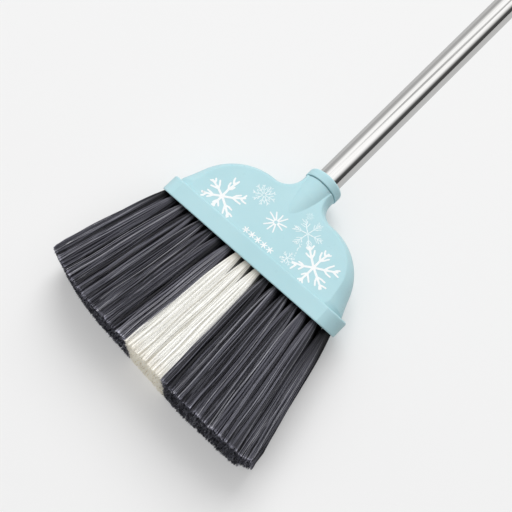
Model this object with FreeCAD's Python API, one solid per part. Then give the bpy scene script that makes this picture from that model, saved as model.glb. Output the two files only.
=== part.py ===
"""Snow brush: a moulded fan-shaped head with slant-cut bristles on a screw-in steel handle.

Modelled lying on its back.  The driving dimensions are in the head's own axes: the origin on
the handle axis at the lower edge of the collar ring, +Y up the handle, +X across the head and
+Z out of the front face.  save() then moves every piece to the bottom centre of the whole brush.
"""
import os
import FreeCAD, Part
from math import asin, atan2, cos, degrees, radians, sin, sqrt, tan

V = FreeCAD.Vector
ORIGIN = V(0, 0, 0)
ACROSS = V(1, 0, 0)
UP_HANDLE = V(0, 1, 0)
OUT_FRONT = V(0, 0, 1)

# ---- driving dimensions, mm ------------------------------------------------------------
# handle tube
TUBE_RADIUS = 12.0
TUBE_WALL = 0.8
TUBE_FOOT_Y = -4.0
TUBE_TOP_Y = 640.0
RUNNING_CLEARANCE = 0.05
PLUG_LENGTH = 26.0
# hanging cap
CAP_FLANGE = 6.0
CAP_TONGUE_LENGTH = 16.0
CAP_TONGUE_THICKNESS = 9.0
HANG_HOLE_RADIUS = 4.0
# screw thread, right hand
THREAD_PITCH = 5.0
THREAD_TURNS = 5
SLEEVE_EXTRA_TURNS = 3
THREAD_CORE_RADIUS = 8.0
THREAD_HEIGHT = 1.5
THREAD_CLEARANCE = 0.3
THREAD_CREST = 1.4
THREAD_ROOT = 2.6
TIP_FLANGE = 2.5
TIP_LEAD = 5.0
# collar ring
RING_RADIUS = 18.3
RING_HEIGHT = 9.5
RING_TOP_ROUND = 3.2
RING_FOOT_ROUND = 0.8
RING_SEAT_DEPTH = 6.5
GROOVE = 0.7
# head housing
SOCKET_RADIUS = 16.9
SOCKET_TAPER_Y = -18.0
SOCKET_END_RADIUS = 15.3
SOCKET_END_Y = -50.0
SOCKET_FLOOR = 3.0
SPIGOT_RADIUS = 15.0
SPIGOT_TOP = 6.0
MOUTH_RADIUS = 12.4
SLEEVE_RADIUS = 12.2
SLEEVE_TOP_Y = -8.0
NECK_HALF_WIDTH = 17.3
NECK_FILLET = 17.0
SHOULDER_X = 34.4
SHOULDER_Y = -79.7
SHOULDER_RADIUS = 58.0
FLARE_ANGLE = 20.0
FLARE_RADIUS = 260.0
EDGE_RADIUS = 21.2
EDGE_LEVELS = 6
FACE_Z_AT_RING = 11.3
FACE_SLOPE = 0.108
HOUSING_WALL = 2.6
HOUSING_FOOT_Y = -83.2
FORM_FOOT_Y = -93.0
FACE_FLAT_Y = -85.0
CAVITY_TOP_Y = -12.0
FACE_EDGE_ROUND = 2.0
CREASE_ROUND = 0.7
NEAR = 0.03
# rim band
BAND_TOP_Y = -79.3
BAND_FOOT_Y = -96.8
BAND_HALF_WIDTH = 102.8
BAND_HALF_THICKNESS = 22.6
BAND_END_RADIUS = 23.8
BAND_WALL = 2.8
BAND_TOP_ROUND = 2.0
BAND_FOOT_ROUND = 1.0
BAND_RAKE = 15.9
FIT_GAP = 0.1
# bristle block
BLOCK_FOOT_Y = -94.8
HOLE_RADIUS = 2.6
HOLE_DEPTH = 9.0
HOLE_MARGIN = 1.0
SCREW_XS = (-77.0, -29.5, 29.5, 77.0)
SCREW_SHANK_RADIUS = 1.5
SCREW_HEAD_RADIUS = 2.9
SCREW_HEAD_HEIGHT = 1.8
SCREW_LENGTH = 16.0
SCREW_SEAT = 3.0
CROSS_ARM = 0.6
CROSS_SLOT = 0.13
CROSS_DEPTH = 0.6
BOSS_RADIUS = 4.0
BOSS_TOP_Y = -62.0
RIB_THICKNESS = 2.0
# bristle tufts
COLUMNS = 18
ROWS = 5
ROOT_PITCH = 11.1
ROW_PITCH = 7.0
TIP_PITCH = 14.4
TIP_ROW_PITCH = 11.4
TUFT_RADIUS = 2.45
TUFT_GAP = 0.3
TIP_Y = -228.5
TIP_SLANT = 4.3
TIP_BEVEL = 2.0
TIP_CORNER = V(-70.0, -223.2, 0)
TIP_CORNER_SLANT = 8.3
ANCHOR = V(5.4, 1.6, 0.3)
ANCHOR_DEPTH = 6.5


# ---- helpers ---------------------------------------------------------------------------
def rod(radius, y_low, y_high):
    """A round bar along the handle axis."""
    return Part.makeCylinder(radius, y_high - y_low, V(0, y_low, 0), UP_HANDLE)


def box_between(low, high):
    """A box from its lowest to its highest corner."""
    size = high - low
    return Part.makeBox(size.x, size.y, size.z, low)


def edges_at(shape, test):
    """The edges of a shape whose middle point passes the test."""
    picked = []
    for edge in shape.Edges:
        middle = edge.valueAt((edge.FirstParameter + edge.LastParameter) / 2)
        if test(middle):
            picked.append(edge)
    return picked


def arc(centre, radius, start, end):
    """An arc in the plane of the head between two angles in degrees, by its middle."""
    def at(angle):
        return centre + V(cos(radians(angle)), sin(radians(angle)), 0) * radius
    return Part.Arc(at(start), at((start + end) / 2), at(end)).toShape()


def lens_slab(half_width, half_thickness, end_radius, y_low, y_high):
    """A slab across the head with flat faces and round ends, between two heights."""
    reach = half_width - end_radius + sqrt(end_radius ** 2 - half_thickness ** 2)
    corners = [V(reach, y_low, half_thickness), V(reach, y_low, -half_thickness),
               V(-reach, y_low, -half_thickness), V(-reach, y_low, half_thickness)]
    right = Part.Arc(corners[0], V(half_width, y_low, 0), corners[1]).toShape()
    back = Part.makeLine(corners[1], corners[2])
    left = Part.Arc(corners[2], V(-half_width, y_low, 0), corners[3]).toShape()
    front = Part.makeLine(corners[3], corners[0])
    face = Part.Face(Part.Wire([right, back, left, front]))
    return face.extrude(UP_HANDLE * (y_high - y_low))


def raked_y(y, z):
    """Height on a plane of the raked foot that crosses mid-plane at y."""
    return y - z * tan(radians(BAND_RAKE))


def raked_space(y, side):
    """Everything above (side 1) or below (side -1) a plane of the raked foot."""
    size = 4 * BAND_HALF_WIDTH
    space = Part.makeBox(size, size, size, V(-size / 2, min(0, side * size), -size / 2))
    space.rotate(ORIGIN, ACROSS, BAND_RAKE)
    space.translate(V(0, y, 0))
    return space


def raked_slab(half_width, half_thickness, end_radius, y_low, y_high):
    """A lens slab whose upper and lower faces follow the rake of the foot."""
    reach = half_thickness * tan(radians(BAND_RAKE)) + 1
    slab = lens_slab(half_width, half_thickness, end_radius, y_low - reach, y_high + reach)
    return slab.cut([raked_space(y_low, -1), raked_space(y_high, 1)])


# ---- head housing ----------------------------------------------------------------------
def half_outline(inset):
    """The right half of the head's outline in plan, moved inward, from neck to foot."""
    shoulder = V(SHOULDER_X, SHOULDER_Y, 0)
    neck_x = NECK_HALF_WIDTH + NECK_FILLET
    reach = SHOULDER_RADIUS + NECK_FILLET
    neck = V(neck_x, SHOULDER_Y + sqrt(reach ** 2 - (neck_x - SHOULDER_X) ** 2), 0)
    join = degrees(atan2(neck.y - shoulder.y, neck.x - shoulder.x))
    flare_way = V(cos(radians(FLARE_ANGLE)), sin(radians(FLARE_ANGLE)), 0)
    flare = shoulder + flare_way * (SHOULDER_RADIUS + FLARE_RADIUS)
    flare_end = 180 + degrees(asin((flare.y - BAND_TOP_Y) / (FLARE_RADIUS + inset)))

    neck_line = Part.makeLine(V(NECK_HALF_WIDTH - inset, -GROOVE, 0), V(NECK_HALF_WIDTH - inset, neck.y, 0))
    neck_arc = arc(neck, NECK_FILLET + inset, 180, 180 + join)
    shoulder_arc = arc(shoulder, SHOULDER_RADIUS - inset, join, FLARE_ANGLE)
    flare_arc = arc(flare, FLARE_RADIUS + inset, 180 + FLARE_ANGLE, flare_end)
    foot = flare_arc.valueAt(flare_arc.LastParameter)
    foot_line = Part.makeLine(foot, V(foot.x, FORM_FOOT_Y, 0))
    return [neck_line, neck_arc, shoulder_arc, flare_arc, foot_line]


def outline_wire(inset, z):
    """The whole outline of the head, moved inward, at one height above mid-plane."""
    right = half_outline(inset)
    left = [edge.mirror(ORIGIN, ACROSS) for edge in right]
    top = Part.makeLine(V(inset - NECK_HALF_WIDTH, -GROOVE, 0), V(NECK_HALF_WIDTH - inset, -GROOVE, 0))
    foot = right[-1].valueAt(right[-1].LastParameter)
    bottom = Part.makeLine(V(-foot.x, foot.y, 0), foot)
    wire = Part.Wire(Part.__sortEdges__(right + left + [top, bottom]))
    wire.translate(V(0, 0, z))
    return wire


def face_z(y):
    """Height of the sloping front face above mid-plane."""
    return FACE_Z_AT_RING - FACE_SLOPE * max(y, FACE_FLAT_Y)


def head_form(wall):
    """The head's form without its socket, moved inward by a wall thickness."""
    top_z = face_z(FORM_FOOT_Y) - wall
    radius = EDGE_RADIUS - wall
    widest = asin(top_z / radius)
    wires = []
    for level in range(-EDGE_LEVELS, EDGE_LEVELS + 1):
        angle = widest * level / EDGE_LEVELS
        wires.append(outline_wire(EDGE_RADIUS - radius * cos(angle), radius * sin(angle)))
    form = Part.makeLoft(wires, True, False)
    side = [V(0, 1, face_z(1) - wall), V(0, FACE_FLAT_Y, top_z), V(0, FORM_FOOT_Y - 1, top_z)]
    mirrored = [V(0, point.y, -point.z) for point in reversed(side)]
    profile = Part.Face(Part.makePolygon(side + mirrored + side[:1]))
    profile.translate(ACROSS * -BAND_HALF_WIDTH)
    return form.common(profile.extrude(ACROSS * 2 * BAND_HALF_WIDTH))


def is_on_face(point):
    """Whether a point lies on the front or back face of the head."""
    return abs(abs(point.z) - face_z(point.y)) < NEAR


def round_face_rims(form):
    """The form with the rims of its front and back faces rounded over."""
    def is_rim(point):
        foot_gap = min(abs(point.y - FORM_FOOT_Y), abs(point.y - FACE_FLAT_Y))
        return is_on_face(point) and min(foot_gap, abs(point.x)) > NEAR
    return form.makeFillet(FACE_EDGE_ROUND, edges_at(form, is_rim))


def soften_crease(shell):
    """The shell with a small round where the socket rises out of its faces."""
    def is_crease(point):
        off_axis = sqrt(point.x ** 2 + point.z ** 2)
        return is_on_face(point) and SOCKET_END_RADIUS - NEAR < off_axis < SOCKET_RADIUS + NEAR
    return shell.makeFillet(CREASE_ROUND, edges_at(shell, is_crease))


def ribbed_boss(x):
    """A screw boss with the rib that ties it to the front and back of the shell."""
    boss = Part.makeCylinder(BOSS_RADIUS, BOSS_TOP_Y - FORM_FOOT_Y, V(x, FORM_FOOT_Y, 0), UP_HANDLE)
    half = RIB_THICKNESS / 2
    rib = box_between(V(x - half, FORM_FOOT_Y, -EDGE_RADIUS), V(x + half, BOSS_TOP_Y, EDGE_RADIUS))
    return boss.fuse(rib)


def socket_form():
    """The handle socket's outside: a round bar that tapers towards its closed end."""
    taper = Part.makeCone(SOCKET_END_RADIUS, SOCKET_RADIUS, SOCKET_TAPER_Y - SOCKET_END_Y,
                          V(0, SOCKET_END_Y, 0), UP_HANDLE)
    return taper.fuse(rod(SOCKET_RADIUS, SOCKET_TAPER_Y, -GROOVE))


def head_housing():
    """One moulding: hollow fan-shaped shell, handle socket, spigot and screw bosses."""
    socket = socket_form()
    shell = soften_crease(round_face_rims(head_form(0)).fuse(socket))
    below_ring = box_between(V(-BAND_HALF_WIDTH, FORM_FOOT_Y, -EDGE_RADIUS),
                             V(BAND_HALF_WIDTH, CAVITY_TOP_Y, EDGE_RADIUS))
    cavity = head_form(HOUSING_WALL).common(below_ring)
    cavity = cavity.cut([ribbed_boss(x) for x in SCREW_XS] + [socket])
    shell = shell.fuse(rod(SPIGOT_RADIUS, -GROOVE - 1, SPIGOT_TOP)).cut(cavity)
    shell = shell.cut(rod(MOUTH_RADIUS, SLEEVE_TOP_Y, SPIGOT_TOP + 1))
    shell = shell.cut(rod(SLEEVE_RADIUS, SOCKET_END_Y + SOCKET_FLOOR, SLEEVE_TOP_Y))
    for x in SCREW_XS:
        shell = shell.cut(screw_bar(x, SCREW_SHANK_RADIUS))
    return shell.cut(raked_space(HOUSING_FOOT_Y, -1)).removeSplitter()


def rim_band():
    """The trim band round the foot of the head: a skirt with an inner lip over the block."""
    outer = raked_slab(BAND_HALF_WIDTH, BAND_HALF_THICKNESS, BAND_END_RADIUS, BAND_FOOT_Y, BAND_TOP_Y)
    for y, radius in ((BAND_TOP_Y, BAND_TOP_ROUND), (BAND_FOOT_Y, BAND_FOOT_ROUND)):
        outer = outer.makeFillet(radius, edges_at(outer, lambda p: abs(p.y - raked_y(y, p.z)) < NEAR))
    room = raked_slab(BAND_HALF_WIDTH - BAND_WALL, BAND_HALF_THICKNESS - BAND_WALL,
                      BAND_END_RADIUS - BAND_WALL, BAND_FOOT_Y - 1, HOUSING_FOOT_Y)
    return outer.cut(room).cut(head_form(-FIT_GAP))


# ---- bristle block, screws and tufts ---------------------------------------------------
def screw_bar(x, radius):
    """The bore or shank of one block screw."""
    return Part.makeCylinder(radius, SCREW_LENGTH, V(x, BLOCK_FOOT_Y + SCREW_SEAT, 0), UP_HANDLE)


def screw_head(x, radius, height):
    """A round head, or its recess in the foot of the block, below the screw's seat."""
    return Part.makeCylinder(radius, height, V(x, BLOCK_FOOT_Y + SCREW_SEAT - height, 0), UP_HANDLE)


def block_screws():
    """The four screws that hold the block to the housing's bosses, with cross recesses."""
    screws = []
    head_foot = BLOCK_FOOT_Y + SCREW_SEAT - SCREW_HEAD_HEIGHT
    arm = SCREW_HEAD_RADIUS * CROSS_ARM
    slot = SCREW_HEAD_RADIUS * CROSS_SLOT
    depth = SCREW_HEAD_HEIGHT * CROSS_DEPTH
    for x in SCREW_XS:
        screw = screw_bar(x, SCREW_SHANK_RADIUS).fuse(screw_head(x, SCREW_HEAD_RADIUS, SCREW_HEAD_HEIGHT))
        for reach_x, reach_z in ((arm, slot), (slot, arm)):
            low = V(x - reach_x, head_foot - 1, -reach_z)
            screw = screw.cut(box_between(low, V(x + reach_x, head_foot + depth, reach_z)))
        screws.append(screw)
    return Part.makeCompound(screws)


def column_x(column, pitch):
    """Place of one column of tufts across the head."""
    return (column - (COLUMNS - 1) / 2) * pitch


def row_z(row, pitch):
    """Place of one row of tufts through the thickness."""
    return (row - (ROWS - 1) / 2) * pitch


def hole_mouth(column, row):
    """Where one tuft comes out of the raked foot of the block."""
    z = row_z(row, ROW_PITCH)
    return V(column_x(column, ROOT_PITCH), raked_y(BLOCK_FOOT_Y, z), z)


def is_screw_place(column, row):
    """Whether a screw takes the place of this tuft."""
    x = column_x(column, ROOT_PITCH)
    return row == ROWS // 2 and min(abs(x - place) for place in SCREW_XS) < SCREW_HEAD_RADIUS + HOLE_RADIUS


def fits_round_end(column, row):
    """Whether a tuft's hole stays inside the round end of the block."""
    beyond = max(0, abs(column_x(column, ROOT_PITCH)) - (BAND_HALF_WIDTH - BAND_END_RADIUS))
    reach = sqrt(beyond ** 2 + row_z(row, ROW_PITCH) ** 2) + HOLE_RADIUS + HOLE_MARGIN
    return reach < BAND_END_RADIUS - BAND_WALL


def tuft_places(column):
    """The rows of one column that hold a tuft."""
    return [row for row in range(ROWS) if fits_round_end(column, row) and not is_screw_place(column, row)]


def tip_cutter():
    """Everything beyond the bevelled trim of the bristles, steeper at the short corner."""
    size = 4 * BAND_HALF_WIDTH
    cutter = Part.makeBox(size, size, size, V(-size / 2, -size, -size / 2))
    cutter.rotate(ORIGIN, ACROSS, -TIP_BEVEL)
    cutter.rotate(ORIGIN, OUT_FRONT, -TIP_SLANT)
    corner = cutter.copy()
    corner.rotate(ORIGIN, OUT_FRONT, TIP_SLANT - TIP_CORNER_SLANT)
    corner.translate(TIP_CORNER)
    cutter.translate(V(0, TIP_Y, 0))
    return Part.makeCompound([cutter, corner])


def tuft(column, row, cutter):
    """One tuft: a round root in its hole, then a fan that widens to the trimmed tip."""
    root = hole_mouth(column, row)
    end = V(column_x(column, TIP_PITCH), TIP_Y - 2 * TIP_ROW_PITCH, row_z(row, TIP_ROW_PITCH))
    stem = Part.makeCylinder(TUFT_RADIUS, HOLE_DEPTH - TUFT_GAP, root, UP_HANDLE)
    foot_wire = Part.Wire(Part.Circle(root, UP_HANDLE, TUFT_RADIUS).toShape())
    half_x = (TIP_PITCH - TUFT_GAP) / 2
    half_z = (TIP_ROW_PITCH - TUFT_GAP) / 2
    oval = Part.Ellipse(end + V(half_x, 0, 0), end + V(0, 0, half_z), end)
    fan = Part.makeLoft([foot_wire, Part.Wire(oval.toShape())], True, True)
    slot = anchor_at(column, row, TUFT_GAP)
    return stem.fuse(fan).cut(cutter).cut(slot).removeSplitter()


def anchor_at(column, row, gap):
    """The flat wire anchor that holds one tuft down in its hole, or its slot."""
    half = ANCHOR * 0.5 + V(0, 0, gap / 2)
    centre = hole_mouth(column, row) + UP_HANDLE * ANCHOR_DEPTH
    return box_between(centre - half, centre + half + V(0, gap * HOLE_DEPTH, 0))


def tuft_anchors():
    """All the anchors, one to each tuft."""
    anchors = [anchor_at(column, row, 0) for column in range(COLUMNS) for row in tuft_places(column)]
    return Part.makeCompound(anchors)


def bristle_block():
    """The block in the foot of the head, with a blind hole for each tuft."""
    inset = BAND_WALL + FIT_GAP
    block = raked_slab(BAND_HALF_WIDTH - inset, BAND_HALF_THICKNESS - inset, BAND_END_RADIUS - inset,
                       BLOCK_FOOT_Y, HOUSING_FOOT_Y)
    holes = []
    for column in range(COLUMNS):
        for row in tuft_places(column):
            place = hole_mouth(column, row) - UP_HANDLE * HOLE_RADIUS
            holes.append(Part.makeCylinder(HOLE_RADIUS, HOLE_DEPTH + HOLE_RADIUS, place, UP_HANDLE))
    for x in SCREW_XS:
        holes.append(screw_bar(x, SCREW_SHANK_RADIUS))
        holes.append(screw_head(x, SCREW_HEAD_RADIUS + FIT_GAP, SCREW_SEAT + SCREW_HEAD_RADIUS))
    return block.cut(Part.makeCompound(holes))


# ---- collar and screw socket -----------------------------------------------------------
def collar_ring():
    """The round collar pressed over the socket's spigot, a close guide for the tube."""
    ring = rod(RING_RADIUS, 0, RING_HEIGHT)
    top = edges_at(ring, lambda p: abs(p.y - RING_HEIGHT) < 0.01)
    ring = ring.makeFillet(RING_TOP_ROUND, top)
    foot = edges_at(ring, lambda p: abs(p.y) < 0.01)
    ring = ring.makeFillet(RING_FOOT_ROUND, foot)
    ring = ring.cut(rod(SPIGOT_RADIUS, -1, RING_SEAT_DEPTH))
    return ring.cut(rod(TUBE_RADIUS + RUNNING_CLEARANCE, -1, RING_HEIGHT + 1))


def thread_ridge(core_radius, growth, y_low, turns):
    """A helical ridge of trapezium section on a core, made wider and higher by a growth."""
    helix = Part.makeHelix(THREAD_PITCH, THREAD_PITCH * turns, core_radius)
    outer = core_radius + THREAD_HEIGHT + growth
    inner = core_radius - THREAD_HEIGHT / 2
    crest = THREAD_CREST / 2 + growth
    root = THREAD_ROOT / 2 + growth + (THREAD_ROOT - THREAD_CREST) / 4
    points = [V(inner, 0, -root), V(outer, 0, -crest), V(outer, 0, crest), V(inner, 0, root)]
    profile = Part.makePolygon(points + points[:1])
    ridge = Part.Wire(helix).makePipeShell([profile], True, True)
    ridge.rotate(ORIGIN, ACROSS, -90)
    ridge.translate(V(0, y_low, 0))
    return ridge


def thread_sleeve():
    """The threaded sleeve pressed into the socket."""
    low = SOCKET_END_Y + SOCKET_FLOOR
    start = thread_start() - THREAD_PITCH
    turns = THREAD_TURNS + SLEEVE_EXTRA_TURNS
    groove = thread_ridge(THREAD_CORE_RADIUS, THREAD_CLEARANCE, start, turns)
    sleeve = rod(SLEEVE_RADIUS, low, SLEEVE_TOP_Y).cut(groove)
    return sleeve.cut(rod(THREAD_CORE_RADIUS + THREAD_CLEARANCE, low - 1, SLEEVE_TOP_Y + 1))


def thread_start():
    """Where the ridge on the handle's threaded tip begins."""
    return TUBE_FOOT_Y - TIP_FLANGE - TIP_LEAD / 2 - THREAD_PITCH * THREAD_TURNS


def thread_tip():
    """The moulded tip in the tube's lower end: plug, flange and threaded shank."""
    flange_low = TUBE_FOOT_Y - TIP_FLANGE
    shank_low = thread_start() - TIP_LEAD
    tip = rod(TUBE_RADIUS - TUBE_WALL - RUNNING_CLEARANCE, TUBE_FOOT_Y, TUBE_FOOT_Y + PLUG_LENGTH)
    tip = tip.fuse([rod(TUBE_RADIUS, flange_low, TUBE_FOOT_Y), rod(THREAD_CORE_RADIUS, shank_low, flange_low)])
    ridge = thread_ridge(THREAD_CORE_RADIUS, 0, thread_start(), THREAD_TURNS)
    return tip.fuse(ridge).removeSplitter()


# ---- handle ----------------------------------------------------------------------------
def handle_tube():
    """The straight steel tube."""
    outer = rod(TUBE_RADIUS, TUBE_FOOT_Y, TUBE_TOP_Y)
    return outer.cut(rod(TUBE_RADIUS - TUBE_WALL, TUBE_FOOT_Y - 1, TUBE_TOP_Y + 1))


def hang_cap():
    """The end cap: plug, flush flange and a flattened tongue with the hanging hole."""
    top = TUBE_TOP_Y + CAP_FLANGE
    end = top + CAP_TONGUE_LENGTH
    dome_centre = end - TUBE_RADIUS
    plug = rod(TUBE_RADIUS - TUBE_WALL - RUNNING_CLEARANCE, TUBE_TOP_Y - PLUG_LENGTH, TUBE_TOP_Y)
    head = rod(TUBE_RADIUS, TUBE_TOP_Y, dome_centre).fuse(
        Part.makeSphere(TUBE_RADIUS, V(0, dome_centre, 0)))
    for side in (-1, 1):
        far = side * TUBE_RADIUS * 2
        near = side * CAP_TONGUE_THICKNESS / 2
        low = V(-TUBE_RADIUS * 2, top, min(near, far))
        head = head.cut(box_between(low, V(TUBE_RADIUS * 2, end + 1, max(near, far))))
    hole = Part.makeCylinder(HANG_HOLE_RADIUS, TUBE_RADIUS * 2, V(0, dome_centre, -TUBE_RADIUS), OUT_FRONT)
    return plug.fuse(head).cut(hole).removeSplitter()


# ---- the whole brush -------------------------------------------------------------------
def all_parts():
    """Every piece by its node name."""
    cutter = tip_cutter()
    parts = {
        "head_housing": head_housing(),
        "rim_band": rim_band(),
        "bristle_block": bristle_block(),
        "block_screws": block_screws(),
        "tuft_anchors": tuft_anchors(),
        "thread_sleeve": thread_sleeve(),
        "collar_ring": collar_ring(),
        "thread_tip": thread_tip(),
        "handle_tube": handle_tube(),
        "hang_cap": hang_cap(),
    }
    for column in range(COLUMNS):
        tufts = [tuft(column, row, cutter) for row in tuft_places(column)]
        parts["tuft_column_%02d" % (column + 1)] = Part.makeCompound(tufts)
    return parts


def save(parts):
    """Move every piece to the bottom centre of the whole brush and write it."""
    os.makedirs("parts", exist_ok=True)
    whole = Part.makeCompound(list(parts.values())).optimalBoundingBox(False)
    centre = V((whole.XMin + whole.XMax) / 2, (whole.YMin + whole.YMax) / 2, whole.ZMin)
    print("collar origin in the brush's frame, mm", -centre)
    for name, shape in parts.items():
        shape.translate(-centre)
        box = shape.optimalBoundingBox(False)
        print(name, "valid", shape.isValid(), "solids", len(shape.Solids), "volume", round(shape.Volume),
              "from", [round(v, 2) for v in (box.XMin, box.YMin, box.ZMin)],
              "to", [round(v, 2) for v in (box.XMax, box.YMax, box.ZMax)])
        shape.exportStep("parts/%s.step" % name)


save(all_parts())
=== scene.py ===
"""Looks of the snow brush: printed flakes, loose filaments, moulded plastic and polished steel."""
from math import atan2, cos, exp, pi, radians, sin, tan
import bpy
import numpy as np
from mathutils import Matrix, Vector


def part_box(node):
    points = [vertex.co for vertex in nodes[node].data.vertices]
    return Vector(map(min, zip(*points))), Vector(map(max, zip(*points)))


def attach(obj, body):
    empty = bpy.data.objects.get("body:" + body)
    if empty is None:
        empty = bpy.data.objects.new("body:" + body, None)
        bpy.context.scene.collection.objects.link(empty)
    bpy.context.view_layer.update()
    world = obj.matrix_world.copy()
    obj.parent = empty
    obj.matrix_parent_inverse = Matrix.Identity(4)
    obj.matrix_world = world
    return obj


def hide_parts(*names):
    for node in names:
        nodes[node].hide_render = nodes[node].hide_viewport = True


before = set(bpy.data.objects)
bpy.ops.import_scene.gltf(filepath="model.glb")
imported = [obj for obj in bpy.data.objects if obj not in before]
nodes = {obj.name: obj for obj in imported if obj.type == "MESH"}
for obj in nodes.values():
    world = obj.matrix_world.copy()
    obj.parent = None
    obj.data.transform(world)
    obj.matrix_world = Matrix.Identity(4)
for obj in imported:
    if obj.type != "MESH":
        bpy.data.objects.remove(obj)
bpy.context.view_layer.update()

MM = 0.001

# The design origin is on the handle axis at the lower edge of the collar ring.
ring_low, ring_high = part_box("collar_ring")
ORIGIN = Vector(((ring_low.x + ring_high.x) / 2, ring_low.y, (ring_low.z + ring_high.z) / 2))

# ---- camera, millimetres from the design origin ----------------------------------------
CAMERA_AZIMUTH = 43.25
CAMERA_ELEVATION = 68.0
CAMERA_DISTANCE = 1200.0
CAMERA_AIM = Vector((2.3, -87.21, 0.0))
CAMERA_LENS = 95.2

# ---- the head's own dimensions, as in the design ---------------------------------------
FACE_Z_AT_RING = 11.3
FACE_SLOPE = 0.108
FACE_FOOT_Y = -85.0
BAND_RAKE = 15.9
BLOCK_FOOT_Y = -94.8
COLUMNS = 18
ROWS = 5
ROOT_PITCH = 11.1
ROW_PITCH = 7.0
TIP_PITCH = 14.4
TIP_ROW_PITCH = 11.4
WHITE_COLUMNS = (8, 9, 10)
SCREW_XS = (-77.0, -29.5, 29.5, 77.0)
SCREW_ROOM = 5.5
END_X = 90.0


def place(x, y, z):
    """A point of the design, in millimetres, in the frame's metres."""
    return ORIGIN + Vector((x, y, z)) * MM


# ---- materials --------------------------------------------------------------------------
def new_material(name):
    """An empty node material with a Principled shader."""
    material = bpy.data.materials.new(name)
    material.use_nodes = True
    shader = material.node_tree.nodes["Principled BSDF"]
    return material, material.node_tree.nodes, material.node_tree.links, shader


def noise(tree_nodes, links, scale, detail=4.0, stretch=(1.0, 1.0, 1.0)):
    """Noise in object space, stretched along an axis."""
    coordinates = tree_nodes.new("ShaderNodeTexCoord")
    mapping = tree_nodes.new("ShaderNodeMapping")
    mapping.inputs["Scale"].default_value = stretch
    texture = tree_nodes.new("ShaderNodeTexNoise")
    texture.inputs["Scale"].default_value = scale
    texture.inputs["Detail"].default_value = detail
    links.new(coordinates.outputs["Object"], mapping.inputs["Vector"])
    links.new(mapping.outputs["Vector"], texture.inputs["Vector"])
    return texture.outputs["Fac"]


def ramp(tree_nodes, links, source, stops):
    """A colour ramp with (position, colour) stops; a colour may be one grey number."""
    node = tree_nodes.new("ShaderNodeValToRGB")
    elements = node.color_ramp.elements
    while len(elements) < len(stops):
        elements.new(1.0)
    for element, (position, colour) in zip(elements, stops):
        element.position = position
        element.color = (colour, colour, colour, 1) if isinstance(colour, float) else (*colour, 1)
    links.new(source, node.inputs["Fac"])
    return node.outputs["Color"]


def multiply(tree_nodes, links, first, second):
    """The product of two colours."""
    node = tree_nodes.new("ShaderNodeMix")
    node.data_type = "RGBA"
    node.blend_type = "MULTIPLY"
    node.inputs["Factor"].default_value = 1.0
    links.new(first, node.inputs["A"])
    links.new(second, node.inputs["B"])
    return node.outputs["Result"]


def bump(tree_nodes, links, shader, height, strength, distance):
    """Feeds a height into the shader's normal."""
    node = tree_nodes.new("ShaderNodeBump")
    node.inputs["Strength"].default_value = strength
    node.inputs["Distance"].default_value = distance
    links.new(height, node.inputs["Height"])
    links.new(node.outputs["Normal"], shader.inputs["Normal"])


def housing_material():
    """Satin light blue polypropylene: faint flow clouds, fine grain and a little light scattered under the
    surface.
    """
    material, tree, links, shader = new_material("light_blue_plastic")
    clouds = noise(tree, links, 28.0, 3.0)
    colour = ramp(tree, links, clouds, [(0.3, (0.472, 0.716, 0.768)), (0.7, (0.502, 0.744, 0.794))])
    links.new(colour, shader.inputs["Base Color"])
    grain = noise(tree, links, 1400.0, 2.0)
    gloss = ramp(tree, links, noise(tree, links, 160.0, 4.0), [(0.3, 0.27), (0.7, 0.36)])
    links.new(gloss, shader.inputs["Roughness"])
    shader.inputs["Specular IOR Level"].default_value = 0.28
    shader.inputs["Subsurface Weight"].default_value = 0.12
    shader.inputs["Subsurface Radius"].default_value = (0.4, 0.7, 0.8)
    shader.inputs["Subsurface Scale"].default_value = 0.003
    bump(tree, links, shader, grain, 0.12, 0.0001)
    return material


def dull_plastic(name, dark, light, rough):
    """Matte moulded plastic with a fine grain."""
    material, tree, links, shader = new_material(name)
    colour = ramp(tree, links, noise(tree, links, 60.0), [(0.3, dark), (0.7, light)])
    links.new(colour, shader.inputs["Base Color"])
    shader.inputs["Roughness"].default_value = rough
    bump(tree, links, shader, noise(tree, links, 1800.0, 2.0), 0.2, 0.0001)
    return material


def tube_material():
    """Bright drawn steel: long faint lines along the tube and tiny specks of wear."""
    material, tree, links, shader = new_material("polished_steel")
    shader.inputs["Metallic"].default_value = 1.0
    lines = noise(tree, links, 900.0, 3.0, (1.0, 0.012, 1.0))
    links.new(ramp(tree, links, lines, [(0.3, (0.86, 0.85, 0.835)), (0.7, (0.92, 0.915, 0.905))]),
              shader.inputs["Base Color"])
    wear = noise(tree, links, 120.0, 6.0, (1.0, 0.2, 1.0))
    links.new(ramp(tree, links, wear, [(0.35, 0.045), (0.75, 0.085)]), shader.inputs["Roughness"])
    bump(tree, links, shader, lines, 0.015, 0.00005)
    return material


def zinc_material():
    """Zinc-plated steel of the screws and anchors."""
    material, tree, links, shader = new_material("zinc_plate")
    shader.inputs["Metallic"].default_value = 1.0
    stops = [(0.3, (0.52, 0.52, 0.50)), (0.7, (0.70, 0.69, 0.66))]
    links.new(ramp(tree, links, noise(tree, links, 700.0), stops), shader.inputs["Base Color"])
    shader.inputs["Roughness"].default_value = 0.35
    return material


def print_material(name, thin, full):
    """White pad-printed ink, a little uneven."""
    material, tree, links, shader = new_material(name)
    colour = ramp(tree, links, noise(tree, links, 900.0), [(0.35, thin), (0.6, full)])
    links.new(colour, shader.inputs["Base Color"])
    shader.inputs["Roughness"].default_value = 0.5
    return material


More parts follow.
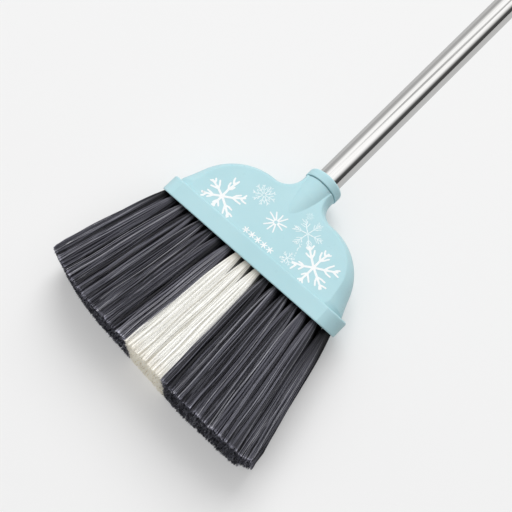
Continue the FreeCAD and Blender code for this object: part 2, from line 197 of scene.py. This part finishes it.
def filament_material(name, shades, along, gloss):
    """Filaments: a shade of its own for each strand, a tone that runs from root to tip with painted shade at
    the roots and any painted highlight at the ends, and painted shadow on the roots of the back rows.
    """
    material, tree, links, shader = new_material(name)
    tint = tree.new("ShaderNodeAttribute")
    tint.attribute_name = "tint"
    parts = tree.new("ShaderNodeSeparateColor")
    links.new(tint.outputs["Color"], parts.inputs["Color"])
    shade = ramp(tree, links, parts.outputs["Red"], shades)
    tone = ramp(tree, links, parts.outputs["Green"], along)
    # Painted shadow: the blue channel darkens the roots of the back rows, where the front tufts shade them.
    painted_root_shadow = ramp(tree, links, parts.outputs["Blue"], [(0.0, 0.02), (1.0, 1.0)])
    colour = multiply(tree, links, multiply(tree, links, shade, tone), painted_root_shadow)
    links.new(colour, shader.inputs["Base Color"])
    shader.inputs["Roughness"].default_value = gloss
    return material


def add_painted_glow(material):
    """A painted glow: faint emission in the nylon's own colour that brightens the pale filaments, standing
    in for light passing through them.
    """
    shader = material.node_tree.nodes["Principled BSDF"]
    colour = shader.inputs["Base Color"].links[0].from_socket
    material.node_tree.links.new(colour, shader.inputs["Emission Color"])
    shader.inputs["Emission Strength"].default_value = 0.17


DARK_FILAMENT = filament_material(
    "dark_filament",
    [(0.0, (0.016, 0.016, 0.020)), (0.16, (0.030, 0.030, 0.036)), (0.26, (0.085, 0.085, 0.104)),
     (0.7, (0.16, 0.16, 0.195)), (0.88, (0.25, 0.25, 0.29)), (1.0, (0.42, 0.42, 0.46))],
    # Along the strand: painted shade darkens the roots, and a painted highlight lightens the cut ends.
    [(0.0, 0.25), (0.10, 0.85), (0.5, 1.0), (0.95, 0.95), (0.985, 0.95), (1.0, 2.6)], 0.42)
WHITE_FILAMENT = filament_material(
    "white_filament",
    [(0.0, (0.60, 0.58, 0.52)), (0.10, (0.84, 0.83, 0.78)),
     (0.22, (0.94, 0.935, 0.90)), (1.0, (0.97, 0.965, 0.94))],
    # Along the strand: painted shade darkens the roots to beige brown; the tips are a little beige.
    [(0.0, (0.42, 0.38, 0.33)), (0.07, (0.8, 0.78, 0.74)), (0.16, 1.0), (0.9, 1.0),
     (0.985, (0.97, 0.95, 0.92)), (1.0, (0.95, 0.93, 0.88))], 0.4)
# Painted glow: the white filaments get a faint emission in their own colour.
add_painted_glow(WHITE_FILAMENT)
HOUSING = housing_material()
BLACK_BLOCK = dull_plastic("black_plastic", (0.010, 0.010, 0.011), (0.016, 0.016, 0.018), 0.6)
DARK_TIP = dull_plastic("dark_grey_plastic", (0.040, 0.040, 0.044), (0.055, 0.055, 0.060), 0.45)
STEEL = tube_material()
ZINC = zinc_material()
INK = print_material("white_ink", (0.90, 0.94, 0.95), (0.97, 0.98, 0.98))
THIN_INK = print_material("thin_white_ink", (0.66, 0.86, 0.90), (0.92, 0.97, 0.98))
FAINT_INK = print_material("faint_white_ink", (0.58, 0.82, 0.87), (0.72, 0.89, 0.92))


def dress(material, *names):
    """Gives CAD nodes a material."""
    for name in names:
        for holder in nodes[name].material_slots:
            holder.material = material


dress(HOUSING, "head_housing", "rim_band", "collar_ring")
dress(BLACK_BLOCK, "bristle_block", "thread_sleeve")
dress(DARK_TIP, "thread_tip", "hang_cap")
dress(STEEL, "handle_tube")
# The handle throws no shadow: the light round it is taken to be even.
for part in ("handle_tube", "hang_cap", "thread_tip"):
    nodes[part].visible_shadow = False
    nodes[part].visible_diffuse = False
dress(ZINC, "block_screws", "tuft_anchors")


# ---- pieces -----------------------------------------------------------------------------
def new_piece(name, points, faces, material, body):
    """A mesh piece in the frame's metres that rides on a body."""
    mesh = bpy.data.meshes.new(name)
    mesh.from_pydata([tuple(point) for point in points], [], faces)
    mesh.materials.append(material)
    mesh.validate()
    piece = bpy.data.objects.new(name, mesh)
    bpy.context.scene.collection.objects.link(piece)
    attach(piece, body)
    return piece


# ---- printed snow flakes ----------------------------------------------------------------
INK_DEPTH = 0.05
INK_HEIGHT = 0.07
INK_SPREAD = 0.03
CAP_POINTS = 5
INK_MARGIN = 1.0
ARM_SWAY = 0.07
ARM_BEND = 0.12
TWIG_FROM = 0.45
TWIG_SPAN = 0.38
TWIG_LENGTH = 0.40
TWIG_SHRINK = 0.14
TWIG_LEAN = (34, 52)
DRIFT_DOTS = 8
DRIFT_START = (27.5, -55.0)
DRIFT_STEP = (0.55, -1.9)
CRYSTALS = 5
CRYSTAL_START = (-15.6, -80.9)
CRYSTAL_PITCH = 7.1
CRYSTAL_RADIUS = 3.0


def face_point(x, y, lift):
    """A point on the sloping front face, lifted off it."""
    return place(x, y, FACE_Z_AT_RING - FACE_SLOPE * max(y, FACE_FOOT_Y) + lift)


def stroke(start, end, width_start, width_end):
    """The outline of one stroke with round ends, as 2-D points."""
    way = np.subtract(end, start)
    turn = atan2(way[1], way[0])
    outline = []
    for centre, width, side in ((end, width_end, -pi / 2), (start, width_start, pi / 2)):
        for step in range(CAP_POINTS + 1):
            angle = turn + side + pi * step / CAP_POINTS
            outline.append((centre[0] + cos(angle) * width / 2, centre[1] + sin(angle) * width / 2))
    return outline


def print_strokes(name, strokes, material, rng):
    """One printed mark: every stroke is a thin raised film on the face."""
    points, faces = [], []
    for start, end, width_start, width_end in strokes:
        outline = stroke(start, end, width_start, width_end)
        lift = INK_HEIGHT + INK_SPREAD * rng.random()
        first, count = len(points), len(outline)
        points += [face_point(x, y, lift) for x, y in outline]
        points += [face_point(x, y, -INK_DEPTH) for x, y in outline]
        faces.append(list(range(first, first + count)))
        for i in range(count):
            j = (i + 1) % count
            faces.append([first + i, first + count + i, first + count + j, first + j])
    return new_piece(name, points, faces, material, "head")


def heading(angle):
    """The unit vector of an angle."""
    return np.array([cos(angle), sin(angle)])


def limb(start, angle, length, bend, width_start, width_end):
    """A stroke in two parts with a bend between them, kept above the foot of the face."""
    lowest = FACE_FOOT_Y + INK_MARGIN
    middle = start + heading(angle) * length / 2
    end = middle + heading(angle + bend) * length / 2
    middle[1], end[1] = max(middle[1], lowest), max(end[1], lowest)
    between = (width_start + width_end) / 2
    return [(start, middle, width_start, between), (middle, end, between, width_end)]


def flake_strokes(centre, radius, turn, arms, twigs, width, inner, rng):
    """Hand-drawn strokes of a flake: arms with pairs of twigs that shorten towards the tip."""
    strokes = []
    centre = np.array(centre, float)
    for arm in range(arms):
        angle = turn + 2 * pi * arm / arms + rng.normal(0, ARM_SWAY)
        reach = radius * rng.uniform(0.85, 1.05)
        room = centre[1] - FACE_FOOT_Y - INK_MARGIN
        reach = min(reach, room / max(0.01, -sin(angle)))
        root = centre + heading(angle) * inner * radius
        strokes += limb(root, angle, reach - inner * radius, rng.normal(0, ARM_BEND), width, width * 0.8)
        for twig in range(twigs):
            share = twig / max(1, twigs - 1)
            knot = centre + heading(angle) * reach * (TWIG_FROM + TWIG_SPAN * share)
            for side in (-1, 1):
                length = reach * (TWIG_LENGTH - TWIG_SHRINK * share) * rng.uniform(0.7, 1.15)
                lean = angle + side * radians(rng.uniform(*TWIG_LEAN))
                strokes += limb(knot, lean, length, -side * rng.uniform(0.0, 0.5), width * 0.85, width * 0.7)
    return strokes


def print_flakes():
    """The flakes of the front face: (x, y), radius, turn, arms, twigs, stroke, open centre."""
    rng = np.random.default_rng(21)
    flakes = [
        ("flake_large_left", (-53.6, -71.6), 20.5, 1.62, 6, 2, 2.3, 0.0, INK),
        ("flake_fine_left", (-28.1, -44.4), 11.0, 0.2, 9, 2, 0.85, 0.15, THIN_INK),
        ("flake_middle", (-1.9, -56.9), 10.6, 0.3, 10, 0, 1.5, 0.22, INK),
        ("flake_thin_right", (25.6, -45.5), 14.5, 1.35, 6, 3, 0.9, 0.0, THIN_INK),
        ("flake_tiny_right", (15.4, -31.3), 4.2, 0.2, 8, 1, 0.5, 0.2, FAINT_INK),
        ("flake_small_right", (28.8, -76.0), 6.6, 0.5, 6, 2, 0.8, 0.0, THIN_INK),
        ("flake_large_right", (51.3, -66.3), 21.5, 1.57, 6, 2, 2.2, 0.0, INK),
    ]
    for name, centre, radius, turn, arms, twigs, width, inner, material in flakes:
        strokes = flake_strokes(centre, radius, turn, arms, twigs, width, inner, rng)
        print_strokes(name, strokes, material, rng)


def print_drift():
    """Small flecks that trail down from the thin flake."""
    rng = np.random.default_rng(9)
    dots = []
    for step in range(DRIFT_DOTS):
        spot = np.array(DRIFT_START) + np.array(DRIFT_STEP) * step + rng.normal(0, 0.4, 2)
        dots.append((spot, spot + rng.normal(0, 0.9, 2), 0.9, 0.6))
    print_strokes("flake_drift", dots, THIN_INK, rng)


def print_border():
    """A row of small plain crystals over the middle of the band."""
    rng = np.random.default_rng(5)
    strokes = []
    for step in range(CRYSTALS):
        centre = (CRYSTAL_START[0] + CRYSTAL_PITCH * step, CRYSTAL_START[1])
        for arm in range(6):
            tip = np.array(centre) + heading(pi / 2 + pi * arm / 3) * CRYSTAL_RADIUS
            strokes.append((centre, tip, 1.25, 0.95))
    print_strokes("crystal_row", strokes, INK, rng)


print_flakes()
print_drift()
print_border()

# ---- bristles ---------------------------------------------------------------------------
# one filament, mm
STRAND_RADIUS = 0.25
STRAND_POINTS = 16
SIDES = 3
LAST_STEP = 0.985
STEP_POWER = 1.25
TIP_TAPER = 0.8
# one tuft: it leaves a round hole and opens to a rectangle at the tip
STRANDS = 240
CLUMPS = 60
CLUMP_REACH = 0.95
CLUMP_PULL = 0.72
CLUMP_DRIFT = 0.12
CLUMP_TRIM = 0.25
WAVE = 0.10
WAVE_TURNS = 3.2
STRAY = 0.05
STRAND_TRIM = 0.4
SHADE_SPREAD = 0.10
SHADOW_DEPTH = 2.2
SHADOW_LENGTH = 0.38
HOLE_SPREAD = 2.25
DISK_REACH = 1.12
OPENING = 0.16
OPENING_POWER = 1.3
OPENING_SHARE = 0.4
ROOT_DEPTH = 3.0
NEAR_HALF_WIDTH = 5.6
TIP_HALF_X = 7.3
TIP_HALF_Z = 5.7
# the trim: slanted, short and rounded at the two corners, level on the right
TIP_Y = -228.0
TIP_SLANT = 0.075
LEFT_RISE = 0.0023
RIGHT_RISE = 0.010
RIGHT_RISE_FROM = 105.0
LEFT_RISE_FROM = -60.0
LEVEL_FROM = 50.0
FRONT_Z = 20.0
BEVEL = 0.003
BEVEL_GROWTH = 0.00038
# the room the filaments keep to, and the lean of the middle tufts towards -X
FLOOR_CLEAR = 0.6
EDGE_X = 128.5
TOP_Z = 28.0
LEAN = 4.5
LEAN_AT = 7.5
LEAN_WIDTH = 3.0


def raked_y(y, z):
    """Height on a plane of the raked foot that crosses mid-plane at y."""
    return y - z * tan(radians(BAND_RAKE))


def trim_y(x, z):
    """Where the trim cuts the bristles: slanted, bevelled, and rising at both corners."""
    front = TIP_Y - TIP_SLANT * np.minimum(x, LEVEL_FROM)
    front = front + LEFT_RISE * np.maximum(0, LEFT_RISE_FROM - x) ** 2
    front = front + RIGHT_RISE * np.maximum(0, x - RIGHT_RISE_FROM) ** 2
    return front - (FRONT_Z - z) * (BEVEL + BEVEL_GROWTH * np.minimum(x, LEVEL_FROM))


def has_tuft(x, row):
    """Whether there is a tuft here: the round ends lack the outer rows, and screws take some places."""
    at_screw = row == ROWS // 2 and min(abs(x - place_x) for place_x in SCREW_XS) < SCREW_ROOM
    at_end = row in (0, ROWS - 1) and abs(x) > END_X
    return not (at_screw or at_end)


def disk_points(count, rng):
    """Evenly spread points in a unit disk, with a little jitter."""
    step = np.arange(count) + 0.5
    radius = np.sqrt(step / count)
    angle = step * pi * (3 - 5 ** 0.5)
    points = np.stack([radius * np.cos(angle), radius * np.sin(angle)], axis=1)
    return points + rng.normal(0, 0.04, points.shape)


def tuft_paths(column, row, rng):
    """Paths (strand, point, xyz) in millimetres and tints (strand, point, rgb) of one tuft: a random shade,
    the place along the strand, and painted shadow on the back rows' roots.
    """
    root_x = (column - (COLUMNS - 1) / 2) * ROOT_PITCH
    root_z = (row - (ROWS - 1) / 2) * ROW_PITCH
    tip_x = (column - (COLUMNS - 1) / 2) * TIP_PITCH - LEAN * exp(-((column - LEAN_AT) / LEAN_WIDTH) ** 2)
    tip_z = (row - (ROWS - 1) / 2) * TIP_ROW_PITCH
    disk = disk_points(STRANDS, rng)
    sides = np.abs(disk).max(axis=1, keepdims=True) / np.linalg.norm(disk, axis=1, keepdims=True)
    square = disk * DISK_REACH
    centres = rng.uniform(-CLUMP_REACH, CLUMP_REACH, (CLUMPS, 2))
    distance = np.linalg.norm(square[:, None] - centres[None], axis=2)
    clump = distance.argmin(axis=1)
    clump_shade = rng.uniform(0.0, 1.0, CLUMPS)
    clump_phase = rng.uniform(0, 2 * pi, (CLUMPS, 2))
    clump_drift = rng.normal(0, CLUMP_DRIFT, (CLUMPS, 2))
    clump_trim = rng.normal(0, CLUMP_TRIM, CLUMPS)

    steps = np.append(np.linspace(0, LAST_STEP, STRAND_POINTS - 1) ** STEP_POWER, 1.0)
    t = steps[None, :, None]
    pull = CLUMP_PULL * np.clip(t * 2.5, 0, 1)
    squared = 1 + (1 / sides[:, None] - 1) * np.clip(t * 3, 0, 1)
    unit = square[:, None] * squared * (1 - pull) + centres[clump][:, None] * pull
    unit = unit + clump_drift[clump][:, None] * t
    unit = unit + WAVE * t * np.sin(WAVE_TURNS * pi * t + clump_phase[clump][:, None])
    unit = unit + rng.normal(0, STRAY, (STRANDS, 1, 2)) * t

    opening = 1 - np.exp(-(t / OPENING) ** OPENING_POWER)
    half_x = HOLE_SPREAD + (NEAR_HALF_WIDTH - HOLE_SPREAD) * opening + (TIP_HALF_X - NEAR_HALF_WIDTH) * t
    grown = OPENING_SHARE * opening + (1 - OPENING_SHARE) * t
    half_z = HOLE_SPREAD + (TIP_HALF_Z - HOLE_SPREAD) * grown
    x = root_x + (tip_x - root_x) * t[..., 0] + unit[..., 0] * half_x[..., 0]
    z = root_z + (tip_z - root_z) * t[..., 0] + unit[..., 1] * half_z[..., 0]
    top = raked_y(BLOCK_FOOT_Y, root_z) + ROOT_DEPTH
    end = trim_y(x[:, -1], z[:, -1]) + clump_trim[clump] + rng.normal(0, STRAND_TRIM, STRANDS)
    y = top + (end[:, None] - top) * t[..., 0]
    x = np.clip(x, -EDGE_X, EDGE_X)
    z = np.clip(z, FLOOR_CLEAR - ORIGIN.z / MM, TOP_Z)

    shade = np.clip(clump_shade[clump] + rng.normal(0, SHADE_SPREAD, STRANDS), 0, 1)
    # Painted shadow: the back rows are darkened near their roots, where the front tufts shade them.
    back = (1 - row / (ROWS - 1)) ** 0.5
    painted_root_shadow = np.clip(1 - SHADOW_DEPTH * back * (1 - t[..., 0] / SHADOW_LENGTH), 0.0, 1)
    tint = np.stack([np.repeat(shade[:, None], STRAND_POINTS, 1),
                     np.repeat(t[..., 0], STRANDS, 0), np.repeat(painted_root_shadow, STRANDS, 0)], axis=2)
    return np.stack([x, y, z], axis=2), tint


def strands_piece(name, paths, tints, material):
    """One mesh of three-sided filaments along the paths, with their tints."""
    strands, count = paths.shape[:2]
    taper = np.where(np.arange(count) == count - 1, TIP_TAPER, 1.0) * STRAND_RADIUS
    angle = 2 * pi * np.arange(SIDES) / SIDES
    ring = np.stack([np.cos(angle), np.zeros(SIDES), np.sin(angle)], axis=1)
    points = paths[:, :, None] + ring[None, None] * taper[None, :, None, None]
    points = (points * MM + np.array(ORIGIN)).reshape(-1, 3)
    base = (np.arange(strands) * count * SIDES)[:, None, None]
    level = (np.arange(count - 1) * SIDES)[None, :, None]
    side = np.arange(SIDES)[None, None]
    following = (side + 1) % SIDES
    quads = np.stack([base + level + side, base + level + following,
                      base + level + SIDES + following, base + level + SIDES + side], axis=3).reshape(-1, 4)
    last = base[:, 0] + (count - 1) * SIDES + np.arange(SIDES)[None, ::-1]
    first = base[:, 0] + np.arange(SIDES)[None]
    faces = quads.tolist() + last.tolist() + first.tolist()

    mesh = bpy.data.meshes.new(name)
    mesh.from_pydata(points.tolist(), [], faces)
    mesh.materials.append(material)
    mesh.shade_smooth()
    attribute = mesh.color_attributes.new("tint", "FLOAT_COLOR", "POINT")
    colours = np.ones((strands, count, SIDES, 4))
    colours[..., :3] = tints[:, :, None]
    attribute.data.foreach_set("color", colours.ravel())
    piece = bpy.data.objects.new(name, mesh)
    bpy.context.scene.collection.objects.link(piece)
    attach(piece, "head")
    return piece


def bristle_columns():
    """Every column of tufts as loose filaments in place of its plain solid."""
    for column in range(COLUMNS):
        rng = np.random.default_rng(100 + column)
        root_x = (column - (COLUMNS - 1) / 2) * ROOT_PITCH
        rows = [row for row in range(ROWS) if has_tuft(root_x, row)]
        tufts = [tuft_paths(column, row, rng) for row in rows]
        paths = np.concatenate([tuft[0] for tuft in tufts])
        tints = np.concatenate([tuft[1] for tuft in tufts])
        white = column in WHITE_COLUMNS
        material = WHITE_FILAMENT if white else DARK_FILAMENT
        piece = strands_piece("filaments_%02d" % (column + 1), paths, tints, material)
        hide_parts("tuft_column_%02d" % (column + 1))


bristle_columns()


# ---- floor, light and camera ------------------------------------------------------------
FLOOR_SIZE = 6.0
KEY_PLACE = Vector((-2.4, 5.0, 6.0))
KEY_SIZE = 6.0
KEY_POWER = 450.0
SEAM_SLANT = -0.41


def make_floor():
    """A pale studio floor that glows evenly; as mirrored in the polished steel it turns darker, a painted
    reflection.
    """
    mesh = bpy.data.meshes.new("floor")
    size = FLOOR_SIZE
    corners = [(-size, -size, 0), (size, -size, 0), (size, size, 0), (-size, size, 0)]
    mesh.from_pydata(corners, [], [(0, 1, 2, 3)])
    material, tree, links, shader = new_material("pale_floor")
    path = tree.new("ShaderNodeLightPath")
    # Painted reflection: the floor is darker and glows less only in glossy rays, so the steel mirrors a
    # darker floor.
    colour = ramp(tree, links, path.outputs["Is Glossy Ray"], [(0.0, 0.66), (1.0, 0.46)])
    links.new(colour, shader.inputs["Base Color"])
    glow = ramp(tree, links, path.outputs["Is Glossy Ray"], [(0.0, 1.0), (1.0, 0.3)])
    links.new(glow, shader.inputs["Emission Color"])
    shader.inputs["Roughness"].default_value = 0.9
    shader.inputs["Specular IOR Level"].default_value = 0.0
    shader.inputs["Emission Strength"].default_value = 0.245
    mesh.materials.append(material)
    floor = bpy.data.objects.new("floor", mesh)
    bpy.context.scene.collection.objects.link(floor)


def make_world():
    """A studio round the handle: bright overhead, a seam between two lights, a dark flag low on +X."""
    world = bpy.data.worlds.new("studio")
    bpy.context.scene.world = world
    world.use_nodes = True
    tree, links = world.node_tree.nodes, world.node_tree.links
    coordinates = tree.new("ShaderNodeTexCoord")
    parts = tree.new("ShaderNodeSeparateXYZ")
    links.new(coordinates.outputs["Generated"], parts.inputs["Vector"])
    angle = tree.new("ShaderNodeMath")
    angle.operation = "ARCTAN2"
    links.new(parts.outputs["X"], angle.inputs[0])
    links.new(parts.outputs["Z"], angle.inputs[1])
    turn = tree.new("ShaderNodeMath")
    turn.operation = "MULTIPLY_ADD"
    turn.inputs[1].default_value = 1 / (2 * pi)
    turn.inputs[2].default_value = 0.5
    links.new(angle.outputs[0], turn.inputs[0])
    stops = [(-95, 0.44), (-62, 0.40), (-50, 0.74), (-36, 1.04), (0, 1.08), (26, 1.08),
             (38, 0.90), (48, 0.52), (57, 0.16), (64, 0.06), (92, 0.06)]
    stops = [(0.5 + degrees / 360, float(value)) for degrees, value in stops]
    lights = ramp(tree, links, turn.outputs[0], stops)
    slant = tree.new("ShaderNodeMath")
    slant.operation = "MULTIPLY_ADD"
    slant.inputs[1].default_value = SEAM_SLANT
    links.new(parts.outputs["Y"], slant.inputs[0])
    links.new(turn.outputs[0], slant.inputs[2])
    seam = ramp(tree, links, slant.outputs[0], [(0.288, 1.0), (0.306, 0.40), (0.320, 0.40), (0.338, 1.0)])
    background = tree["Background"]
    links.new(multiply(tree, links, lights, seam), background.inputs["Color"])
    path = tree.new("ShaderNodeLightPath")
    strength = ramp(tree, links, path.outputs["Is Glossy Ray"], [(0.0, 0.69), (1.0, 1.0)])
    links.new(strength, background.inputs["Strength"])


def area_light(name, position, target, size, power):
    """A square soft light aimed at a point, in the frame's metres."""
    lamp = bpy.data.lights.new(name, "AREA")
    lamp.shape = "SQUARE"
    lamp.size = size
    lamp.energy = power
    holder = bpy.data.objects.new(name, lamp)
    holder.location = position
    holder.rotation_mode = "QUATERNION"
    holder.rotation_quaternion = (Vector(target) - Vector(position)).to_track_quat("-Z", "Y")
    holder.visible_glossy = False
    bpy.context.scene.collection.objects.link(holder)


def make_camera():
    """The camera, above the head and turned to its slant."""
    azimuth, elevation = radians(CAMERA_AZIMUTH), radians(CAMERA_ELEVATION)
    back = Vector((sin(azimuth) * cos(elevation), -cos(azimuth) * cos(elevation), sin(elevation)))
    lens = bpy.data.cameras.new("camera")
    lens.lens = CAMERA_LENS
    lens.sensor_width = 36.0
    lens.clip_start = 0.01
    lens.clip_end = 50.0
    camera = bpy.data.objects.new("camera", lens)
    camera.location = ORIGIN + CAMERA_AIM * MM + back * CAMERA_DISTANCE * MM
    camera.rotation_mode = "QUATERNION"
    camera.rotation_quaternion = (-back).to_track_quat("-Z", "Y")
    bpy.context.scene.collection.objects.link(camera)
    bpy.context.scene.camera = camera


bpy.context.scene.view_settings.view_transform = "Standard"
make_floor()
make_world()
area_light("key", ORIGIN + KEY_PLACE, ORIGIN, KEY_SIZE, KEY_POWER)
make_camera()
